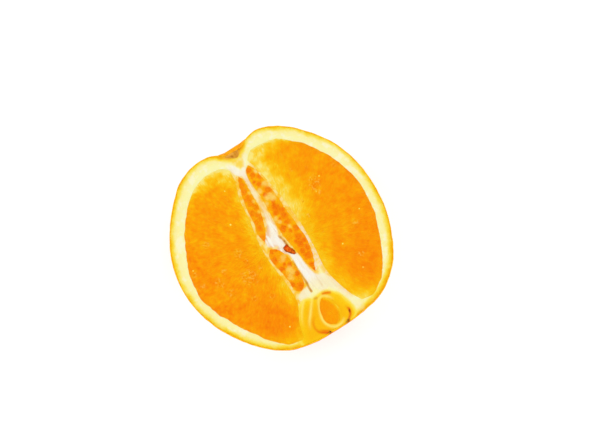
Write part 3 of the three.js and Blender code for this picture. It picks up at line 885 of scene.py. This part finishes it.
SLIVER_GOLD = [  # where the slivers are palest: x, y and radius
    [5.6, 14.9, 2.2], [4.2, 15.4, 1.6], [6.4, 20.2, 1.6], [5.8, 26.2, 1.2], [2.6, 19, 1.3],
    [2.8, 13.6, 1.4], [2.6, 7, 1.3], [3.6, 5.4, 0.9], [5.8, 2.2, 1], [-2.6, -6.6, 1.6],
    [-2.4, -12, 2.2], [-3.6, -14, 1.4], [-0.8, 17, 0.9], [-0.6, 20.4, 1], [-1, 12.4, 0.9]]
# The sparkle is painted: pale flecks are painted highlights and dark flecks painted shade on the glistening
# sacs.
PAINTED_SPARKLES = [  # where the sacs' skins are speckled with light: x, y and radius
    [-16.5, -6.2, 3], [-25.2, -8.2, 1.6], [-27, -2.8, 1.7], [-23.3, 0.2, 0.9], [-15.6, 3, 1.8],
    [-14.7, -0.7, 1.1], [-11.3, -5.5, 0.9], [-13, -17, 1.2], [-33.2, 4.5, 1], [-33, -0.8, 1.3],
    [-19, -14, 1.1], [-24, 12, 1.2], [22, 13, 1.6], [21.5, 10.4, 2.4], [21.7, 7.8, 0.9], [31.3, 13, 0.9],
    [14.6, 7.7, 0.8], [13.7, 2.2, 0.8], [17, 19.8, 0.6], [27, -9, 1.2], [23, -20, 1.1]]
# The glints are painted highlights: the pulp's colour is made pale yellow where a wet spot would catch a
# lamp.
PAINTED_GLINTS = [  # where a wet spot catches a lamp: x, y and radius
    [-12.5, 13.8, 0.55], [19.1, -13.4, 0.55], [-8, 25.6, 0.4], [24.6, 12.6, 0.5], [20.8, 8.2, 0.4],
    [-13.2, -29.6, 0.5], [-33, 6.2, 0.45], [31, -5.4, 0.45], [21, -24.6, 0.4]]
PULP_EDGE, PULP_TIP, PULP_FOOT = 0.04, -0.2, -1.05  # the heights of the edges, the tips and the foot


def reach_of(spots, points):
    """1 in the middle of the nearest of some round spots (x, y, radius), 0 at its edge and below 0
    beyond."""
    spots = np.array(spots)
    return (1 - np.linalg.norm(points[..., None, :] - spots[:, :2], axis=-1) / spots[:, 2]).max(axis=-1)


def pulp_grid(name, seed):
    """Straight rows from the core edge to the peel edge, and what is told of their points: the fan's angle
    and radius, over which the sacs are scattered, and how far it is to the sides and to the tips."""
    columns, rows, middle, (sac_width, sac_length), *_ = SACS[name]
    edges = pulp_edges(name, columns)
    a, b = (edge[:, None] for edge in edges)
    even = np.linspace(0, 1, rows)[None, :, None]
    across = 0.4 * even + 0.3 * (1 - np.cos(math.pi * even))  # rows lie closer together along both edges
    spot = a * (1 - across) + b * across
    place = flat(*np.moveaxis(spot, -1, 0))
    arm = spot - middle
    radius = np.linalg.norm(arm, axis=-1)
    fan = FAN_RADIUS * np.arctan2(arm[..., 1], np.sign(arm[..., 0].mean()) * arm[..., 0])
    nearest, second, tone = scatter(flat(fan / sac_width, radius / sac_length), 1.0, seed)
    return SimpleNamespace(
        edges=edges, spot=spot, place=place, radius=radius, fan=fan, tone=tone, seed=seed,
        noise=lambda size, more: soft_noise(place, size, seed + more),
        bead=ease(0.02, 0.45, second - nearest),
        to_side=np.linalg.norm(b - a, axis=-1) * np.minimum(across, 1 - across)[..., 0],
        to_tip=np.min([np.linalg.norm(spot - tip, axis=-1) for tip in (spot[0, 0], spot[-1, 0])], axis=0))


def large_look(name, grid):
    """The two large pieces are lighter towards the core, and along the peel near their ends. Noise mottles
    them, small dark spots lie along the peel, and a few places get painted glints and painted sparkle."""
    y = grid.spot[..., 1]
    to_core, to_peel = (nearest_on(grid.spot.reshape(-1, 2), edge[::3])[0].reshape(y.shape)
                        for edge in grid.edges)
    level, strength, fade = np.array(GLOW[name]).T
    light = np.interp(y, *np.array(PULP_LIGHT).T) - 0.08 * ease(12, 28, to_core) * (np.abs(y) < 15)
    light += np.interp(y, level, strength) * bell(to_core, np.interp(y, level, fade))
    mottle = 0.085 * grid.noise(2.1, 8) + 0.06 * grid.noise(1.1, 9) + 0.05 * (grid.tone - 0.5)
    mottle += 0.12 * grid.noise(4, 5) * ease(8, 0, to_core)
    light += mottle * (1.5 - light) * (0.6 + 0.4 * ease(-30, -8, y))
    light += (0.1 * grid.noise(1.3, 6) + 0.14 * bell(to_peel, 0.9)) * ease(27, 32, y)
    light += 0.16 * bell(to_peel, 2.2) * ease(-15, -24, y) * ease(-34, -27, y)
    near_spot, _, spot_tone = scatter(grid.place, 2.4, grid.seed + 20)
    dark_spot = ease(1, 0.3, near_spot) * (spot_tone > 0.35)
    light -= 0.11 * dark_spot * ease(2.2, 0.6, to_peel) * (np.abs(y) < 28)
    # painted highlights: the glints and the sparkle are laid into the colour itself
    return {"light": np.maximum(light, ease(-0.2, 0.7, reach_of(PAINTED_GLINTS, grid.spot))),
            "spark": ease(-0.3, 0.4, reach_of(PAINTED_SPARKLES, grid.spot) + 0.3 * grid.noise(1.4, 10)),
            "calm": 0.75 + 0.25 * ease(-28, -10, y)}


def sliver_look(name, grid):
    """The slivers are lighter, with deep beads that stand proud and pale gold between them."""
    level, drop, pinkish = SLIVERS[name]
    reach = reach_of(BEADS, grid.spot) + 0.3 * grid.noise(1.5, 7) + 0.2 * grid.noise(0.6, 9)
    gold = reach_of(SLIVER_GOLD, grid.spot) + 0.35 * grid.noise(1.1, 8)
    light = level + 0.1 * (grid.tone - 0.5) - drop * ease(-0.4, 0.7, reach) + 0.23 * ease(-0.2, 0.8, gold)
    return {"light": light, "peach": pinkish * ease(-0.1, 0.8, gold), "proud": 0.2 * ease(0, 0.6, reach),
            "wall": np.maximum(0.4 * (1 - grid.bead), 0.35 * bell(reach + 0.15, 0.2))}


def navel_look(name, grid):
    """The pulp in the navel is even, a little lighter to the right and most so along its right edge."""
    right = grid.spot[..., 0] - AXIS_X
    return {"light": 0.49 + 0.02 * right + 0.04 * grid.noise(2, 5)
            + 0.24 * ease(1.5, 0, grid.to_side) * (right > 0)}


def pulp(name, seed):
    """The height is a swell that falls to the membrane on all sides, plus a bead for each sac."""
    relief, grain = SACS[name][-2:]
    grid = pulp_grid(name, seed)
    look_of = large_look if name in GLOW else sliver_look if name in SLIVERS else navel_look
    look = {"wall": 1 - grid.bead, "peach": 0, "spark": 0, "proud": 0, "calm": 1, **look_of(name, grid)}
    look["grain"] = grain * look.pop("calm")
    swell = ease(0, 1.5, grid.to_side) * ease(0, 2.5, grid.to_tip)
    rise = 0.28 + 0.12 * grid.noise(5, 0) + relief * (grid.bead - 0.6) + 0.1 * (grid.tone - 0.5)
    z = PULP_EDGE + (rise + look.pop("proud")) * swell

    top = np.concatenate([grid.spot, z[..., None]], axis=-1)
    foot = top[:, [-1, 0]] * [1, 1, 0] + [0, 0, PULP_FOOT]
    loops = np.concatenate([top, foot], axis=1)
    loops[[0, -1]] = loops[[0, -1], :1] + [0, 0, PULP_TIP]  # each tip is one point
    look = {key: np.broadcast_to(value, z.shape) for key, value in look.items()}
    look["fan"] = flat(grid.fan + 0.9 * grid.noise(4, 3), grid.radius)  # the sacs sway
    values = {}
    for key, value in look.items():
        value = np.concatenate([value, value[:, [-1, 0]]], axis=1)
        values[key] = value.reshape(-1, *value.shape[2:])
    make_piece(name, loops.reshape(-1, 3), loft_faces(*loops.shape[:2]), values, PULP,
               "half_orange")


# %% The pulp's finish
def pulp_finish():
    """Noise drawn out along the fan gives the sacs' strokes, and one ramp turns light into colour; the glints
    in it are painted highlights, and the sparkle is painted highlights and painted shade.
    """
    f = Finish("orange_pulp", seen, Specular_IOR_Level=0.02, Coat_Roughness=0.15, Subsurface_Weight=0.08,
               Subsurface_Radius=(1.0, 0.4, 0.1), Subsurface_Scale=0.001)
    fan, light, spark = f.attribute("fan", "Vector"), f.attribute("light"), f.attribute("spark")
    blotch = f.noise(fan, 0.8, 2, stretch=(1, 0.8, 1))
    stroke = f.noise(fan, 1.8, 2, stretch=(1, 0.25, 1))
    hair = f.noise(fan, 3.8, 1, stretch=(1, 0.3, 1))
    fleck = f.noise(f.place(), 1500, 1)
    wet = f.noise(fan, 1.2, 2, stretch=(1, 0.4, 1)).between(0.5, 0.75)
    grain = 0.52 * (blotch - 0.5) + 0.12 * (stroke - 0.5) + 0.08 * (hair - 0.5)
    grain = grain * f.attribute("grain") * (1.2 - 0.9 * light)
    tone = f.ramp(light + grain + 0.06 * f.attribute("wall") * stroke.between(0.4, 0.62),
                  (0.0, "E86404"), (0.2, "F87D03"), (0.4, "FC9303"), (0.55, "FCA304"), (0.7, "FCB705"),
                  (0.8, "FCC618"), (0.9, "FCD542"), (1.0, "FCE87D"))
    tone = f.blend(f.attribute("peach"), tone, "FCC878")
    # painted sparkle: the pale flecks are painted highlights, the dark flecks painted shade
    tone = f.blend(spark * fleck.between(0.5, 0.7) * 0.6, tone, "FCC44C")
    tone = f.blend(spark * fleck.between(0.46, 0.3) * 0.6, tone, "E87C00")
    return f.feed(Base_Color=tone, Roughness=0.42 - 0.14 * wet, Coat_Weight=0.05 * wet,
                  Normal=f.bump(stroke + 0.5 * hair, 0.00013, 0.6))


PULP = pulp_finish()
for k, name in enumerate(SACS):
    pulp(name, seed=40 + 10 * k)

# %% [markdown]
# ## The stem button
#
# A dry, lobed button sits in the dimple where the stem grew. It was cut through with the fruit, so it is
# half a turned shape lying on its side, with a fibrous face in line with the cut.

# %% The stem button
STEM_X, STEM_Y, STEM_LEAN = 1.9, 35.4, 0.4  # the button's middle, and its lean to the left per mm of y
STEM_PROFILE = [  # y and radius
    [34.1, 0], [34.2, 0.6], [34.6, 1.2], [35.2, 1.9], [36, 2.5], [36.4, 2.6], [36.55, 1.6], [36.6, 0]]
STEM_LOBES, LOBE_SHARE = 5, 0.1


def stem_button():
    """Half rings round a leaning line, their radius rising and falling with the lobes, each closed by a
    line across the cut that fibres ruffle."""
    y, radius = curve_through(STEM_PROFILE, 70).T[..., None]
    turn = np.linspace(0, math.pi, 60)
    bark = flat(2.4 * turn + 0 * y, 0.5 * y + 0 * turn)
    r = radius * (1 - LOBE_SHARE * np.cos(STEM_LOBES * turn)) * (1 + 0.05 * soft_noise(bark, 0.3, 71))
    middle = STEM_X + STEM_LEAN * (STEM_Y - y)
    under = np.stack([middle + r * np.cos(turn), y + 0 * r, -r * np.sin(turn)], axis=-1)
    across = np.linspace(1, 0, 42)[1:-1]
    flat_x = middle - r[:, -1:] * (1 - across) + r[:, :1] * across
    flat_y = y + 0 * flat_x
    proud = (0.14 + 0.07 * soft_noise(flat(3 * flat_x, flat_y), 0.9, 72)) * ease(0, 0.5, radius)
    over = np.stack([flat_x, flat_y, proud], axis=-1)
    pale = np.maximum((2 * across - 1) ** 2, 0.9 * ease(35.5, 36.1, flat_y) * ease(2.9, 1, flat_x))
    loops = np.concatenate([under, over[:, ::-1]], axis=1)
    edge = np.concatenate([np.full(r.shape, 0.4), pale[:, ::-1]], axis=1)
    make_piece("stem_button_cut", loops.reshape(-1, 3), loft_faces(*loops.shape[:2]),
               {"edge": edge.ravel()}, BUTTON, "stem_button")


def button_finish():
    f = Finish("dry_stem", seen, Roughness=0.85, Specular_IOR_Level=0.05)
    fibre = f.noise(f.place(), 1300, 3, stretch=(1, 0.25, 1))
    tone = f.ramp(fibre, (0.3, "AE6206"), (0.5, "CC7E12"), (0.7, "DA9630"))
    tone = f.blend(f.noise(f.place(), 500, 2).between(0.52, 0.66) * 0.6, tone, "98520E")
    tone = f.blend(f.attribute("edge") * 0.75, tone, "F8B44C")
    return f.feed(Base_Color=tone, Normal=f.bump(fibre, 0.0002, 0.8))


BUTTON = button_finish()
stem_button()

# %% [markdown]
# ## Floor, light and camera
#
# The half lies on a white floor under soft light. The lamps stand round it at half height, because a lamp
# straight above would be mirrored in the wet pulp and wash out its colour.

# %% The floor
FLOOR_REACH = 3.0  # metres, from the middle to each side


def floor_finish():
    f = Finish("white_floor", shade, Roughness=0.9, Specular_IOR_Level=0.1, Emission_Color=(1, 1, 1, 1),
               Emission_Strength=0.4)
    return f.feed(Base_Color=f.blend(f.noise(f.place(), 60, 2) * 0.04, "CCCCCC", "C4C4C4"))


floor_mesh = bpy.data.meshes.new("floor")
corners = [(x * FLOOR_REACH, y * FLOOR_REACH, 0) for x, y in ((-1, -1), (1, -1), (1, 1), (-1, 1))]
floor_mesh.from_pydata(corners, [], [(0, 1, 2, 3)])
floor_mesh.materials.append(floor_finish())
floor = in_scene("floor", floor_mesh)
floor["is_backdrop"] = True

# %% Lamps and surrounding light
LAMPS = [  # the direction round the half and the height above it in degrees, and watts
    ("lamp_left", 150, 48, 7.4), ("lamp_right", 20, 48, 6.2), ("lamp_front", 265, 46, 6.2)]
LAMP_SIZE, LAMP_AWAY = 0.9, 1.3  # metres
SKY_STRENGTH = 0.7
half_middle = Vector(CUT_FACE / 1000)


def facing(name, data, target, way, distance):
    """An object in the scene that looks at the target from a direction and a distance."""
    made = in_scene(name, data)
    made.location = target + way * distance
    made.rotation_euler = way.to_track_quat("Z", "Y").to_euler()
    return made


for name, turn, height, watts in LAMPS:
    lamp = bpy.data.lights.new(name, "AREA")
    lamp.shape, lamp.size, lamp.energy = "DISK", LAMP_SIZE, watts
    turn, height = math.radians(turn), math.radians(height)
    way = Vector((math.cos(turn) * math.cos(height), math.sin(turn) * math.cos(height), math.sin(height)))
    facing(name, lamp, half_middle, way, LAMP_AWAY)

sky = bpy.data.worlds.new("studio")
sky.use_nodes = True
sky.node_tree.nodes["Background"].inputs["Color"].default_value = (1, 1, 1, 1)
sky.node_tree.nodes["Background"].inputs["Strength"].default_value = SKY_STRENGTH
bpy.context.scene.world = sky
bpy.context.scene.view_settings.view_transform = "Standard"

# %% The camera
CAMERA_TURN, CAMERA_HEIGHT, CAMERA_AWAY = -31, 82, 0.9  # degrees round, degrees above, metres
VIEW_WIDTH = 0.21858  # metres of the cut's plane across the picture
TO_RIGHT, TO_FAR = 0.00688, 0.00587  # the picture's middle from the cut's middle, in metres
SENSOR = 36  # mm
turn, height = math.radians(CAMERA_TURN), math.radians(CAMERA_HEIGHT)
right = Vector((math.cos(turn), math.sin(turn), 0))
far = Vector((-math.sin(turn), math.cos(turn), 0))
lens = bpy.data.cameras.new("camera")
lens.sensor_fit, lens.sensor_width, lens.lens = "HORIZONTAL", SENSOR, SENSOR * CAMERA_AWAY / VIEW_WIDTH
lens.clip_start, lens.clip_end = 0.01, 20
away = -far * math.cos(height) + Vector((0, 0, math.sin(height)))
bpy.context.scene.camera = facing("camera", lens, half_middle + right * TO_RIGHT + far * TO_FAR, away,
                                  CAMERA_AWAY)

# %% The model's box, and the end
fruit_box = [list(corner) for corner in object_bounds()]
low, high = np.round(fruit_box, 4)
print("with all its pieces the fruit reaches from", low, "to", high)
